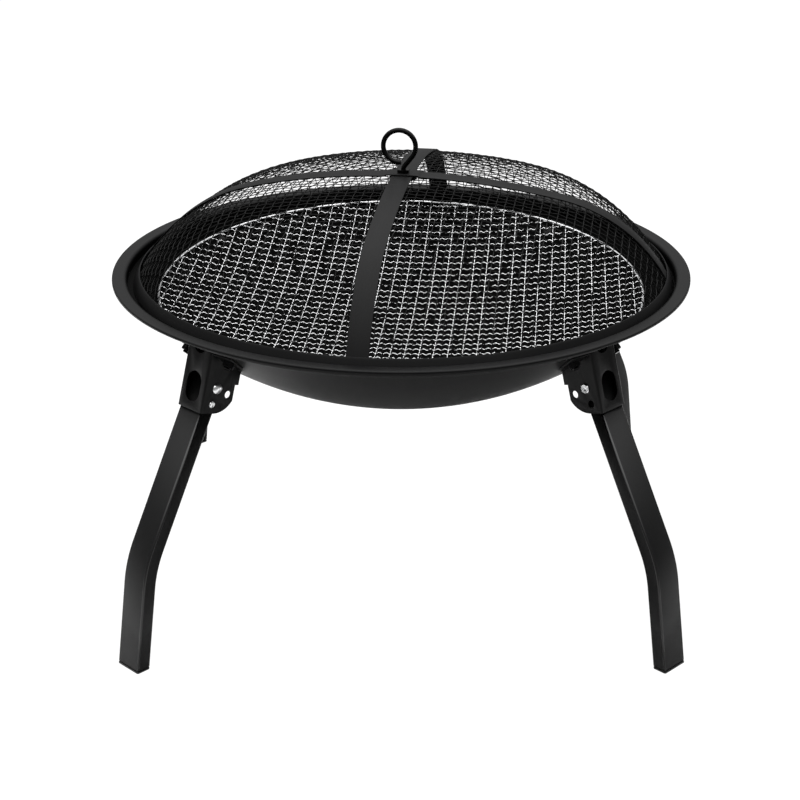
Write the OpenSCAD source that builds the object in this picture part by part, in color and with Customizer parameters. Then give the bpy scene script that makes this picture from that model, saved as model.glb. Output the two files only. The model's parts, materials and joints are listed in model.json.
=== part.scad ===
// Folding fire pit: a spun steel bowl on four folding legs, with a loose wire grate
// and a domed spark screen that lifts off by its eye handle.
// Sizes in millimetres. The floor is z = 0, the bowl's axis is the z axis and the front faces -y.

/* [Bowl] */
// Diameter across the rim
rim_d = 560; // [500:1:640]
// Height of the rim's top above the floor
rim_h = 305; // [280:1:340]
// Depth of the bowl below its ledge, outside
bowl_depth = 113; // [95:1:130]
// Thickness of the bowl's sheet steel
bowl_sheet = 1.2; // [0.8:0.1:2]
// Width of the flat rim
flange_w = 14; // [11:0.5:18]
// Width of the ledge that carries the spark screen
ledge_w = 6; // [5:0.5:8]
// Depth of the ledge below the rim's top
ledge_drop = 10; // [8:0.5:14]
// Outside radius of the rim's rolled edge
lip_r = 2.6; // [2:0.1:5]
// Height of the straight turned-down lip below the roll
lip_drop = 0.4; // [0.2:0.1:4]

/* [Brackets] */
// Distance along the bowl's skin from its mouth down to the pivot
pivot_arc = 37; // [32:1:42]
// Distance of the pivot out from the bowl's skin
pivot_off = 23.7; // [21:0.1:27]
// Thickness of the brackets' sheet steel
bracket_sheet = 1.6; // [1.2:0.1:2.4]
// Lean of the bracket's web from upright
web_lean = 16.5; // [12:0.5:20]
// Radius of the cheek's round corner about the pivot
cheek_r = 23.4; // [21:0.2:27]
// Distance from the pivot in to the cheek's free edge
cheek_in = 20.5; // [19:0.5:22]
// Extra reach of the cheek above its step
cheek_step = 4; // [2:0.5:6]
// Height of the step above the pivot, along the web
step_up = 3.3; // [2:0.1:6]
// Outside bend radius of the channel
channel_r = 2.2; // [2:0.1:3.4]
// Width of the oval hole in the web
web_hole_w = 19; // [14:0.5:22]
// Length of the oval hole in the web
web_hole_l = 28; // [24:0.5:32]
// Distance of the oval hole below the pivot, along the web
web_hole_low = 2; // [0:0.5:4]
// Diameter of the half-round notch at the web's top
web_notch_d = 17; // [12:0.5:20]
// Height of the notch's middle above the web's top
web_notch_up = 3.5; // [0:0.5:6]
// Length of a tab that lies against the bowl
tab_l = 21; // [18:0.5:26]
// Width of a tab along the bowl's slope
tab_w = 22; // [18:0.5:26]
// Distance of the tabs' bolts up the bowl's skin from the pivot
tab_up = 14; // [10:0.5:16]
// Turn of the right rear bracket off the square
rear_right_turn = -2.2; // [-3:0.1:3]
// Turn of the left rear bracket off the square
rear_left_turn = -0.6; // [-3:0.1:3]

/* [Legs] */
// Width of the leg tube, across the fold
tube_w = 29.5; // [26:0.5:34]
// Depth of the leg tube, in the fold's plane
tube_d = 14; // [12:0.5:16]
// Wall of the leg tube
tube_wall = 1.2; // [0.8:0.1:1.8]
// Lean of the upper leg from upright
upper_lean = 28.5; // [25:0.5:31]
// Lean of the lower leg from upright
lower_lean = 8.8; // [4:0.2:14]
// Height of the knee above the floor
knee_h = 98.5; // [85:0.5:110]
// Radius of the knee's bend at the tube's middle
knee_r = 110; // [60:1:160]
// Turn from standing to folded
fold_angle = 80; // [74:1:84]
// Thickness of the foot plug's sole
sole_t = 3; // [2:0.2:6]
// Length of the foot plug inside the tube
plug_l = 20; // [12:1:30]

/* [Pivot and lock] */
// Diameter of the pivot rivet
rivet_d = 6; // [5:0.1:7]
// Diameter of the rivet's head
rivet_head_d = 10.6; // [9:0.1:12]
// Height of the rivet's head
rivet_head_h = 2.6; // [2:0.1:3.4]
// Distance of the lock holes from the pivot
lock_r = 15; // [14:0.1:16.5]
// Diameter of the lock button
button_d = 6.4; // [5.4:0.1:7]
// How far the lock button stands out of the cheek
button_out = 1.4; // [0.8:0.1:2.4]
// Width of the lock's leaf spring
leaf_w = 8; // [7.6:0.1:9]
// Length of the lock's leaf spring below the button
leaf_l = 42; // [30:1:60]
// Thickness of the lock's leaf spring
leaf_t = 0.8; // [0.5:0.1:1.2]
// Diameter of the bolts that hold the tabs
bolt_d = 6; // [5:0.1:6.5]

/* [Grate] */
// Distance of the grate's edge in from the bowl's mouth
grate_inset = 20; // [15:0.5:35]
// Diameter of the grate's ring wire
ring_wire = 3; // [2.4:0.1:5]
// Diameter of the grate's mesh wires
grate_wire = 1.6; // [1.2:0.1:2.6]
// Pitch of the grate's wires
grate_pitch = 13.5; // [11:0.1:30]
// How far the grate's mesh is dished below its ring
grate_sag = 26; // [15:0.5:36]
// How far the loose grate lies tilted in the round bowl, back up
grate_tilt = 3.4; // [0:0.1:4]
// Turn of the grate about the bowl's axis
grate_turn = -5; // [-45:1:45]

/* [Spark screen] */
// Height of the screen's crown above the rim's top
crown_h = 90; // [75:0.5:105]
// Radius of the screen's flat crown, as a multiple of the rim's radius
crown_flat = 2.6; // [2.3:0.05:3.1]
// Angle at which the crown turns into the shoulder
crown_angle = 12.9; // [11:0.1:14.5]
// Room between the screen's foot and the rim's step, all round
screen_play = 3.5; // [3:0.1:4.5]
// Thickness of one layer of screen wires
screen_wire = 1; // [0.8:0.1:1.4]
// Pitch of the screen's wires
screen_pitch = 16.6; // [14:0.1:34]
// Height of the screen's edge band above the ledge
band_h = 12; // [10:0.5:16]
// Thickness of the edge band
band_sheet = 1.2; // [0.8:0.1:1.6]
// Width of the straps over the screen
strap_w = 20; // [15:0.5:26]
// Thickness of the straps
strap_sheet = 1.2; // [0.8:0.1:1.6]
// Turn of the screen about the bowl's axis
screen_turn = -9; // [-45:1:45]
// How far the loose screen lies off the bowl's middle, to the right
screen_shift = 2.2; // [0:0.1:2.4]

/* [Handle] */
// Diameter of the handle's rod
rod_d = 4.8; // [4:0.1:6]
// Outside diameter of the handle's eye
eye_d = 36; // [30:0.5:44]
// Length of the slanted stem below the eye
stem_run = 12; // [8:0.5:18]
// Height of the handle's nuts
nut_h = 3.2; // [2.6:0.1:5]
// Width of the handle's nuts across flats
nut_w = 11; // [9:0.1:12]
// Diameter of the washer under the screen
washer_d = 26; // [24:0.5:40]

/* [Hidden] */
$fn = 96;
// Clearances
seat_gap = 0.05;
side_gap = 0.25;
lean_gap = 0.1;
swing_gap = 0.8;
lie_gap = 0.3;
rivet_play = 0.05;
hole_play = 0.3;
plug_play = 0.15;
weld_gap = 0.2;
layer_gap = 0.05;
past = 1;
thread_past = 2;
full_turn_fn = 180;
rod_fn = 48;

// Bowl
rim_r = rim_d / 2;
step_r = rim_r - flange_w;
mouth_r = step_r - ledge_w;
ledge_z = rim_h - ledge_drop;
bowl_r = (mouth_r * mouth_r + bowl_depth * bowl_depth) / (2 * bowl_depth);
bowl_cz = ledge_z - bowl_depth + bowl_r;
mouth_angle = asin(mouth_r / bowl_r);
bowl_in_r = bowl_r - bowl_sheet;
ledge_in_r = sqrt(bowl_in_r * bowl_in_r - pow(bowl_cz - ledge_z, 2));

// Pivot: its place in a leg's own frame, x outwards and y along the rim
pivot_angle = mouth_angle - pivot_arc / bowl_r * 180 / PI;
pivot_x = (bowl_r + pivot_off) * sin(pivot_angle);
pivot_z = bowl_cz - (bowl_r + pivot_off) * cos(pivot_angle);
legs = ["rear_right", "rear_left", "front_left", "front_right"];
leg_angles = [45 + rear_right_turn, 135 + rear_left_turn, 225, 315];

// Bracket: n is out from the pivot square to the web, s is down along the web
lean_diff = upper_lean - web_lean;
bend_in_r = channel_r - bracket_sheet;
bend_room = max(0, bend_in_r - side_gap);
stop_gap = bend_in_r - sqrt(bend_in_r * bend_in_r - bend_room * bend_room) + lean_gap;
face_off = tube_d / 2 + stop_gap;
face_run = (cheek_r + face_off * sin(lean_diff)) / cos(lean_diff);
web_in = face_off * cos(lean_diff) + face_run * sin(lean_diff);
web_out = web_in + bracket_sheet;
channel_in = tube_w / 2 + side_gap;
channel_out = channel_in + bracket_sheet;
channel_reach = cheek_in + cheek_step;
bracket_up = 70;
tab_angle = pivot_angle + tab_up / bowl_r * 180 / PI;
tab_out_r = bowl_r + seat_gap + bracket_sheet;
tab_mid = channel_out + tab_l / 2 + past;
tab_corner_r = 3;
bolt_turn = asin(tab_mid / (bowl_r * sin(tab_angle)));
lock_hole_d = button_d + 2 * hole_play;

// Leg
tube_top = sqrt(pow(web_in - swing_gap, 2) - pow(tube_d / 2, 2));
knee_turn = upper_lean - lower_lean;
knee_run = knee_r * tan(knee_turn / 2);
upper_l = (pivot_z - knee_h) / cos(upper_lean) - knee_run;
lower_l = knee_h / cos(lower_lean) - knee_run;
knee_steps = 16;

// Grate
ring_r = mouth_r - grate_inset - ring_wire / 2;
ring_reach = bowl_in_r - ring_wire / 2 - lie_gap;
ring_down = sqrt(ring_reach * ring_reach - ring_r * ring_r);
dish_r = (ring_r * ring_r + grate_sag * grate_sag) / (2 * grate_sag);
wire_end_r = ring_r - ring_wire / 2 - weld_gap;

// Spark screen: the surface on which the straps lie, as a crown arc and a shoulder arc.
// The shoulder leaves the crown at a slight crease and runs to the band's foot on the ledge.
crown_z = rim_h + crown_h;
crown_r = crown_flat * rim_r;
crown_cz = crown_z - crown_r;
strap_low = 2 * layer_gap;
strap_high = strap_low + strap_sheet;
band_low = strap_high + weld_gap;
band_high = band_low + band_sheet;
band_foot_z = ledge_z + lie_gap;
crease = 3;
shoulder_angle = crown_angle + crease;
crease_x = (crown_r + band_high) * sin(crown_angle);
crease_z = crown_cz + (crown_r + band_high) * cos(crown_angle);
foot_out = step_r - screen_play - crease_x;
foot_up = band_foot_z - crease_z;
foot_lean = foot_out * sin(shoulder_angle) + foot_up * cos(shoulder_angle);
shoulder_r = -(foot_out * foot_out + foot_up * foot_up) / (2 * foot_lean) - band_high;
shoulder_x = crease_x - (shoulder_r + band_high) * sin(shoulder_angle);
shoulder_z = crease_z - (shoulder_r + band_high) * cos(shoulder_angle);
core_r = crown_r * sin(atan2(shoulder_x, shoulder_z - crown_cz));
band_top_angle = acos((band_foot_z + band_h - shoulder_z) / (shoulder_r + band_high));
foot_angle = acos((band_foot_z - shoulder_z) / (shoulder_r + band_high));
mesh_trim_angle = 1.2;
mesh_end_angle = foot_angle - mesh_trim_angle;
strap_end_angle = (band_top_angle + foot_angle) / 2;
mesh_low = -2 * screen_wire - layer_gap;
mesh_edge_r = shoulder_x + shoulder_r * sin(mesh_end_angle);
joggle_room = 5;
joggle_x = strap_w / 2 + joggle_room;

// Handle
strap_top_z = crown_z + 2 * strap_sheet + 2 * layer_gap;
collar_z = strap_top_z + seat_gap;
stem_z = collar_z + nut_h;
stem_bend_r = rod_d;
thread_d = rod_d - 0.2;
slant_d = rod_d - 0.1;
rod_lap = 0.4;
eye_r = (eye_d - rod_d) / 2;
eye_from = -38;
eye_sweep = 308;
slant_x = stem_bend_r * (1 - cos(eye_from));
slant_z = stem_z - stem_bend_r * sin(eye_from);
eye_start_x = slant_x - stem_run * sin(eye_from);
eye_start_z = slant_z + stem_run * cos(eye_from);
eye_x = eye_start_x - eye_r * cos(eye_from);
eye_z = eye_start_z - eye_r * sin(eye_from);
washer_t = 1.2;
washer_drop = crown_r - sqrt(crown_r * crown_r - washer_d * washer_d / 4);
washer_top_z = crown_z + mesh_low - washer_drop - seat_gap;
lower_nut_z = washer_top_z - washer_t - seat_gap - nut_h;
stem_low_z = lower_nut_z - thread_past;
rod_hole_d = rod_d + 2 * hole_play;

satin_black = "#1c1c1d";
zinc = "#c9cccf";
plug_black = "#141414";

// Placing

// Turns its children to the leg with this number, from 0
module at_leg(number) {
    rotate([0, 0, leg_angles[number]])
        children();
}

// Moves its children from the pivot to their place in a leg's frame
module at_pivot() {
    translate([pivot_x, 0, pivot_z])
        children();
}

// Stands a shape drawn in (n, s) upright at the pivot, as thick as asked along y
module across_web(thickness) {
    rotate([0, -web_lean, 0])
        rotate([-90, 0, 0])
            linear_extrude(height = thickness, center = true)
                children();
}

// Puts children, whose z axis is the bowl's outward normal, on the bowl's skin
module on_bowl(polar, turn) {
    translate([0, 0, bowl_cz])
        rotate([0, 0, turn])
            rotate([0, 180 - polar, 0])
                children();
}

// Bowl

module rolled_lip() {
    translate([rim_r - lip_r, rim_h - lip_r])
        intersection() {
            difference() {
                circle(lip_r);
                circle(lip_r - bowl_sheet);
            }
            square(lip_r + past);
        }
    translate([rim_r - bowl_sheet, rim_h - lip_r - lip_drop])
        square([bowl_sheet, lip_drop]);
}

module bowl_section() {
    difference() {
        intersection() {
            translate([0, bowl_cz])
                circle(bowl_r, $fn = full_turn_fn);
            square([rim_r, ledge_z]);
        }
        translate([0, bowl_cz])
            circle(bowl_in_r, $fn = full_turn_fn);
    }
    translate([ledge_in_r, ledge_z - bowl_sheet])
        square([step_r + bowl_sheet - ledge_in_r, bowl_sheet]);
    translate([step_r, ledge_z - bowl_sheet])
        square([bowl_sheet, ledge_drop + bowl_sheet]);
    translate([step_r, rim_h - bowl_sheet])
        square([flange_w - lip_r, bowl_sheet]);
    rolled_lip();
}

module tab_bolt_places() {
    for (number = [0:3])
        at_leg(number)
            for (side = [-1, 1])
                on_bowl(tab_angle, side * bolt_turn)
                    children();
}

module bowl() {
    color(satin_black)
        difference() {
            rotate_extrude($fn = full_turn_fn)
                bowl_section();
            tab_bolt_places()
                translate([0, 0, bowl_r - bowl_sheet - past])
                    cylinder(d = bolt_d + 2 * hole_play, h = bowl_sheet + 2 * past);
        }
}

// Brackets

module cheek_outline() {
    intersection() {
        union() {
            circle(cheek_r);
            translate([0, -bracket_up])
                square([web_out, bracket_up + cheek_r]);
            translate([-cheek_in, -bracket_up])
                square([cheek_in, bracket_up]);
        }
        translate([-cheek_in, -bracket_up])
            square([cheek_in + web_out, bracket_up + cheek_r]);
    }
    translate([-channel_reach, -bracket_up])
        square([channel_reach, bracket_up - step_up]);
}

module channel_outline(half_w, front, corner) {
    translate([-channel_reach - past, -half_w])
        square([channel_reach + past + front - corner, 2 * half_w]);
    translate([front - corner - past, corner - half_w])
        square([corner + past, 2 * (half_w - corner)]);
    for (side = [-1, 1])
        translate([front - corner, side * (half_w - corner)])
            circle(corner);
}

module channel() {
    intersection() {
        across_web(2 * (channel_out + past))
            cheek_outline();
        rotate([0, -web_lean, 0])
            linear_extrude(height = 2 * bracket_up, center = true)
                difference() {
                    channel_outline(channel_out, web_out, channel_r);
                    channel_outline(channel_in, web_in, bend_in_r);
                }
    }
}

module web_holes() {
    rotate([0, -web_lean, 0])
        translate([web_in - past, 0, -web_hole_low])
            rotate([0, 90, 0]) {
                for (end = [-1, 1])
                    translate([end * (web_hole_l - web_hole_w) / 2, 0, 0])
                        cylinder(d = web_hole_w, h = bracket_sheet + 2 * past);
                translate([-(web_hole_l - web_hole_w) / 2, -web_hole_w / 2, 0])
                    cube([web_hole_l - web_hole_w, web_hole_w, bracket_sheet + 2 * past]);
            }
}

// Height of the web's top above the pivot, along the web, where it meets the bowl
web_top_x = pivot_x + web_out * cos(web_lean);
web_top_z = pivot_z + web_out * sin(web_lean);
web_to_centre = web_top_x * -sin(web_lean) + (web_top_z - bowl_cz) * cos(web_lean);
web_square = pow(web_top_x, 2) + pow(web_top_z - bowl_cz, 2) - pow(bowl_r + seat_gap, 2);
web_top = -web_to_centre - sqrt(web_to_centre * web_to_centre - web_square);

module web_notch() {
    rotate([0, -web_lean, 0])
        translate([web_in - past, 0, web_top + web_notch_up])
            rotate([0, 90, 0])
                cylinder(d = web_notch_d, h = bracket_sheet + 2 * past);
}

module lock_holes(turns, diameter, from, to) {
    for (turn = turns)
        rotate([0, turn - upper_lean, 0])
            translate([0, from, -lock_r])
                rotate([-90, 0, 0])
                    cylinder(d = diameter, h = to - from);
}

// A tab, still with the stuff inside it that the bowl's round takes away
module tab(side) {
    tab_from = channel_in + bracket_sheet / 2;
    tab_to = channel_out + tab_l;
    intersection() {
        translate([0, 0, bowl_cz])
            sphere(tab_out_r, $fn = full_turn_fn);
        on_bowl(tab_angle, 0)
            translate([0, 0, bowl_r - tab_w])
                linear_extrude(height = 2 * tab_w)
                    mirror([0, side < 0 ? 1 : 0]) {
                        translate([-tab_w / 2, tab_from])
                            square([tab_w, tab_to - tab_corner_r - tab_from]);
                        translate([-tab_w / 2 + tab_corner_r, tab_from])
                            square([tab_w - 2 * tab_corner_r, tab_to - tab_from]);
                        for (end = [-1, 1])
                            translate([end * (tab_w / 2 - tab_corner_r), tab_to - tab_corner_r])
                                circle(tab_corner_r);
                    }
    }
}

module bracket() {
    color(satin_black)
        difference() {
            union() {
                at_pivot()
                    channel();
                tab(1);
                tab(-1);
            }
            translate([0, 0, bowl_cz])
                sphere(bowl_r + seat_gap, $fn = full_turn_fn);
            at_pivot() {
                rotate([90, 0, 0])
                    cylinder(d = rivet_d + 2 * rivet_play, h = 3 * channel_out, center = true);
                lock_holes([0, fold_angle], lock_hole_d, -channel_out - past, channel_out + past);
                web_holes();
                web_notch();
            }
            for (side = [-1, 1])
                on_bowl(tab_angle, side * bolt_turn)
                    translate([0, 0, bowl_r - past])
                        cylinder(d = bolt_d + 2 * hole_play, h = bracket_sheet + 3 * past);
        }
}

// A cylinder from one distance out of the bowl's centre to another, at every tab bolt
module bolt_part(diameter, from, to) {
    translate([0, 0, from])
        cylinder(d = diameter, h = to - from);
}

bolt_head_d = 1.9 * bolt_d;
bolt_head_h = 0.35 * bolt_d;
bolt_nut_w = 1.65 * bolt_d;
bolt_nut_h = 0.75 * bolt_d;
bolt_head_r = bowl_in_r - 2 * seat_gap;
bolt_nut_r = tab_out_r + seat_gap;

module bracket_bolts() {
    color(satin_black)
        tab_bolt_places() {
            bolt_part(bolt_d, bolt_head_r - past, bolt_nut_r + bolt_nut_h + thread_past);
            translate([0, 0, bolt_head_r])
                mirror([0, 0, 1])
                    cylinder(d1 = bolt_head_d, d2 = 0.7 * bolt_head_d, h = bolt_head_h);
        }
}

module bracket_nuts() {
    color(satin_black)
        tab_bolt_places()
            translate([0, 0, bolt_nut_r])
                difference() {
                    cylinder(d = bolt_nut_w / cos(30), h = bolt_nut_h, $fn = 6);
                    translate([0, 0, -past])
                        cylinder(d = bolt_d + 2 * rivet_play, h = bolt_nut_h + 2 * past);
                }
}

// Legs

// Points down one edge of the leg, this far out from its middle line
function leg_edge(off, top, bottom) = concat(
    [[off, top]],
    [for (step = [0:knee_steps]) knee_point(off, knee_turn * step / knee_steps)],
    [knee_point(off, knee_turn) - (lower_l + bottom) * [sin(knee_turn), cos(knee_turn)]]
);

function knee_point(off, turn) =
    [-knee_r, -upper_l] + (knee_r + off) * [cos(turn), -sin(turn)];

// The leg's bent outline seen along its pivot, made smaller all round by an inset
module leg_side(inset, top, bottom) {
    half = tube_d / 2 - inset;
    inner = leg_edge(-half, top, bottom);
    rotate(upper_lean)
        polygon(concat(
            leg_edge(half, top, bottom),
            [for (number = [len(inner) - 1:-1:0]) inner[number]]
        ));
}

module leg_bar(inset, top, bottom) {
    rotate([90, 0, 0])
        linear_extrude(height = tube_w - 2 * inset, center = true)
            leg_side(inset, top, bottom);
}

module slab(from_z, to_z) {
    translate([-rim_d, -rim_d, from_z])
        cube([2 * rim_d, 2 * rim_d, to_z - from_z]);
}

module leg_tube() {
    color(satin_black)
        difference() {
            intersection() {
                at_pivot()
                    leg_bar(0, tube_top, tube_d);
                slab(sole_t, rim_h);
            }
            at_pivot() {
                leg_bar(tube_wall, tube_top + past, tube_d);
                rotate([90, 0, 0])
                    cylinder(d = rivet_d + 2 * rivet_play, h = 2 * channel_out, center = true);
                lock_holes([0], lock_hole_d, 0, channel_out);
            }
        }
}

module foot_plug() {
    color(plug_black)
        intersection() {
            at_pivot()
                leg_bar(0, 0, tube_d);
            slab(0, sole_t);
        }
    color(plug_black)
        intersection() {
            at_pivot()
                leg_bar(tube_wall + plug_play, 0, tube_d);
            slab(sole_t - past, sole_t + plug_l);
        }
}

module pivot_rivet() {
    tail_d = 0.85 * rivet_head_d;
    tail_h = 0.6 * rivet_head_h;
    dome_r = (pow(rivet_head_d / 2, 2) + pow(rivet_head_h, 2)) / (2 * rivet_head_h);
    head_y = channel_out + seat_gap;
    color(zinc)
        at_pivot()
            rotate([-90, 0, 0])
                difference() {
                    union() {
                        translate([0, 0, -head_y - past])
                            cylinder(d = rivet_d, h = 2 * (head_y + past));
                        translate([0, 0, -head_y - tail_h])
                            cylinder(d = tail_d, h = tail_h);
                        intersection() {
                            translate([0, 0, head_y + rivet_head_h - dome_r])
                                sphere(dome_r);
                            translate([0, 0, head_y])
                                cylinder(d = rivet_head_d + past, h = rivet_head_h + past);
                        }
                    }
                    translate([0, 0, -head_y - tail_h - past])
                        cylinder(d = 0.55 * rivet_d, h = tail_h + 2 * past);
                }
}

module lock_clip() {
    leaf_y = tube_w / 2 - tube_wall - seat_gap - leaf_t;
    color(zinc)
        at_pivot() {
            lock_holes([0], button_d, leaf_y, channel_out + button_out);
            rotate([0, -upper_lean, 0])
                translate([-leaf_w / 2, leaf_y, -lock_r - leaf_l])
                    cube([leaf_w, leaf_t, leaf_l + leaf_w / 2]);
        }
}

// Grate

module at_grate() {
    translate([0, 0, bowl_cz])
        rotate([grate_tilt, 0, 0])
            rotate([0, 0, grate_turn])
                translate([0, 0, -ring_down])
                    children();
}

module grate_ring() {
    color(zinc)
        at_grate()
            rotate_extrude($fn = full_turn_fn)
                translate([ring_r, 0])
                    circle(d = ring_wire);
}

// Wires along x, bent to the dish, whose middles lie on a sphere of this radius
module dished_wires(layer_r) {
    count = floor((wire_end_r - grate_wire) / grate_pitch);
    for (number = [-count:count]) {
        off = number * grate_pitch;
        bend_r = sqrt(layer_r * layer_r - off * off);
        half_l = sqrt(pow(wire_end_r, 2) - pow(abs(off) + grate_wire / 2, 2));
        half_turn = asin(half_l / (bend_r + grate_wire / 2));
        translate([0, off, dish_r - grate_sag])
            rotate([90, 0, 0])
                rotate([0, 0, -90 - half_turn])
                    rotate_extrude(angle = 2 * half_turn, $fn = 3 * full_turn_fn)
                        translate([bend_r, 0])
                            circle(d = grate_wire, $fn = 24);
    }
}

module grate_wires_across() {
    color(zinc)
        at_grate()
            dished_wires(dish_r + (grate_wire + layer_gap) / 2);
}

module grate_wires_along() {
    color(zinc)
        at_grate()
            rotate([0, 0, 90])
                dished_wires(dish_r - (grate_wire + layer_gap) / 2);
}

// Spark screen

module at_screen() {
    translate([screen_shift, 0, 0])
        rotate([0, 0, screen_turn])
            children();
}

module wedge(from_angle, to_angle) {
    reach = 2 * crown_r;
    polygon([
        [0, 0],
        reach * [sin(from_angle), cos(from_angle)],
        reach * [sin(to_angle), cos(to_angle)]
    ]);
}

module arc_band(middle_r, low, high, from_angle, to_angle) {
    intersection() {
        difference() {
            circle(middle_r + high, $fn = 4 * full_turn_fn);
            circle(middle_r + low, $fn = 4 * full_turn_fn);
        }
        wedge(from_angle, to_angle);
    }
}

// A layer over part of the shoulder, between two offsets from the surface that the straps lie on
module shoulder_layer(low, high, from_angle, to_angle) {
    rotate_extrude($fn = full_turn_fn)
        translate([shoulder_x, shoulder_z])
            arc_band(shoulder_r, low, high, from_angle, to_angle);
}

// The dome seen from the side, this far out from the surface that the straps lie on
module dome_side(off) {
    intersection() {
        translate([0, crown_cz])
            circle(crown_r + off, $fn = 4 * full_turn_fn);
        union() {
            translate([shoulder_x, shoulder_z])
                circle(shoulder_r + off, $fn = 4 * full_turn_fn);
            square([core_r, crown_z + band_h]);
        }
    }
}

// A layer over the whole dome, down to this angle on the shoulder
module dome_layer(low, high, to_angle) {
    reach_x = crown_r * sin(to_angle);
    reach_z = crown_r * cos(to_angle);
    rotate_extrude($fn = full_turn_fn)
        intersection() {
            difference() {
                dome_side(high);
                dome_side(low);
            }
            polygon([
                [0, shoulder_z],
                [shoulder_x, shoulder_z],
                [shoulder_x + reach_x, shoulder_z + reach_z],
                [0, shoulder_z + reach_z]
            ]);
        }
}

module screen_band() {
    color(satin_black)
        at_screen()
            intersection() {
                shoulder_layer(band_low, band_high, band_top_angle, foot_angle + 1);
                slab(band_foot_z, crown_z);
            }
}

// Upright slices along x, one for each wire
module wire_slices() {
    count = floor(mesh_edge_r / screen_pitch - 0.5);
    for (number = [-count:count - 1])
        translate([-rim_r, (number + 0.5) * screen_pitch - screen_wire / 2, 0])
            cube([rim_d, screen_wire, 2 * rim_h]);
}

module screen_wires_across() {
    color(satin_black)
        at_screen()
            intersection() {
                dome_layer(-screen_wire, 0, mesh_end_angle);
                wire_slices();
            }
}

module screen_wires_along() {
    color(satin_black)
        at_screen()
            intersection() {
                dome_layer(mesh_low, -screen_wire - layer_gap, mesh_end_angle);
                rotate([0, 0, 90])
                    wire_slices();
            }
}

// A box along x as wide as a strap, from one distance to another on each side
module strap_box(from_x, to_x) {
    for (side = from_x > 0 ? [0, 1] : [0])
        mirror([side, 0, 0])
            translate([from_x, -strap_w / 2, 0])
                cube([to_x - from_x, strap_w, 2 * rim_h]);
}

module stem_hole() {
    cylinder(d = rod_hole_d, h = 2 * rim_h);
}

module strap_front_rear() {
    color(satin_black)
        at_screen()
            difference() {
                intersection() {
                    dome_layer(strap_low, strap_high, strap_end_angle);
                    rotate([0, 0, 90])
                        strap_box(-rim_r, rim_r);
                }
                stem_hole();
            }
}

// This strap steps up over the other one at the crown
module strap_left_right() {
    upper_low = strap_high + layer_gap;
    upper_high = upper_low + strap_sheet;
    color(satin_black)
        at_screen()
            difference() {
                union() {
                    intersection() {
                        dome_layer(strap_low, strap_high, strap_end_angle);
                        strap_box(joggle_x, rim_r);
                    }
                    intersection() {
                        dome_layer(strap_low, upper_high, strap_end_angle);
                        strap_box(joggle_x, joggle_x + strap_sheet);
                    }
                    intersection() {
                        dome_layer(upper_low, upper_high, strap_end_angle);
                        strap_box(-joggle_x - strap_sheet, joggle_x + strap_sheet);
                    }
                }
                stem_hole();
            }
}

// Handle

// A bend of the handle's rod about (x, z), from one angle on through a sweep
module rod_bend(x, z, radius, from, sweep) {
    translate([x, 0, z])
        rotate([90, 0, 0])
            rotate([0, 0, from])
                rotate_extrude(angle = sweep, $fn = full_turn_fn)
                    translate([radius, 0])
                        circle(d = rod_d, $fn = rod_fn);
}

module handle_eye() {
    color(satin_black)
        at_screen() {
            translate([0, 0, stem_low_z])
                cylinder(d = thread_d, h = stem_z + rod_lap - stem_low_z, $fn = rod_fn);
            rod_bend(stem_bend_r, stem_z, stem_bend_r, 180 + eye_from, -eye_from);
            translate([slant_x, 0, slant_z])
                rotate([0, -eye_from, 0])
                    translate([0, 0, -rod_lap])
                        cylinder(d = slant_d, h = stem_run + 2 * rod_lap, $fn = rod_fn);
            rod_bend(eye_x, eye_z, eye_r, eye_from, eye_sweep);
        }
}

module hex_nut(from_z) {
    translate([0, 0, from_z])
        difference() {
            cylinder(d = nut_w / cos(30), h = nut_h, $fn = 6);
            translate([0, 0, -past])
                cylinder(d = rod_d + 2 * rivet_play, h = nut_h + 2 * past);
        }
}

module handle_collar() {
    color(satin_black)
        at_screen()
            hex_nut(collar_z);
}

module handle_nut() {
    color(zinc)
        at_screen()
            hex_nut(lower_nut_z);
}

module handle_washer() {
    color(satin_black)
        at_screen()
            translate([0, 0, washer_top_z - washer_t])
                difference() {
                    cylinder(d = washer_d, h = washer_t);
                    translate([0, 0, -past])
                        cylinder(d = rod_hole_d, h = washer_t + 2 * past);
                }
}

bowl();
for (number = [0:3]) {
    leg = legs[number];
    at_leg(number) bracket();
    at_leg(number) leg_tube();
    at_leg(number) foot_plug();
    at_leg(number) pivot_rivet();
    at_leg(number) lock_clip();
}
bracket_bolts();
bracket_nuts();
grate_ring();
grate_wires_across();
grate_wires_along();
screen_band();
screen_wires_across();
screen_wires_along();
strap_front_rear();
strap_left_right();
handle_eye();
handle_collar();
handle_washer();
handle_nut();
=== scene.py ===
import json
import math
import bmesh
import bpy
from mathutils import Matrix, Vector


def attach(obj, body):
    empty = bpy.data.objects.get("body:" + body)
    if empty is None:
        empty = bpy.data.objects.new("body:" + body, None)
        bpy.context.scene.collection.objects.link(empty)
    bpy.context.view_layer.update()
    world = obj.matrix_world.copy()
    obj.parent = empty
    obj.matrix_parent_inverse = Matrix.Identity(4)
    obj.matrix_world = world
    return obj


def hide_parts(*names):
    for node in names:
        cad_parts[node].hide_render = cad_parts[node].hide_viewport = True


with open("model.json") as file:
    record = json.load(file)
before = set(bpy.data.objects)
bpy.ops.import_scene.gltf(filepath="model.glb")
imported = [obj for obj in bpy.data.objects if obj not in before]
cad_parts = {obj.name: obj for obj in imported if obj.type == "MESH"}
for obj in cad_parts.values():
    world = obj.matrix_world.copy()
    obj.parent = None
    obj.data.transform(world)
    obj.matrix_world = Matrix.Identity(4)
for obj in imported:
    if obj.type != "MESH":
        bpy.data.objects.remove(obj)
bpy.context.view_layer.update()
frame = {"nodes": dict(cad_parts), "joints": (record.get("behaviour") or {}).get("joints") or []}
print("frame loaded,", len(frame["nodes"]), "nodes")

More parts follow.
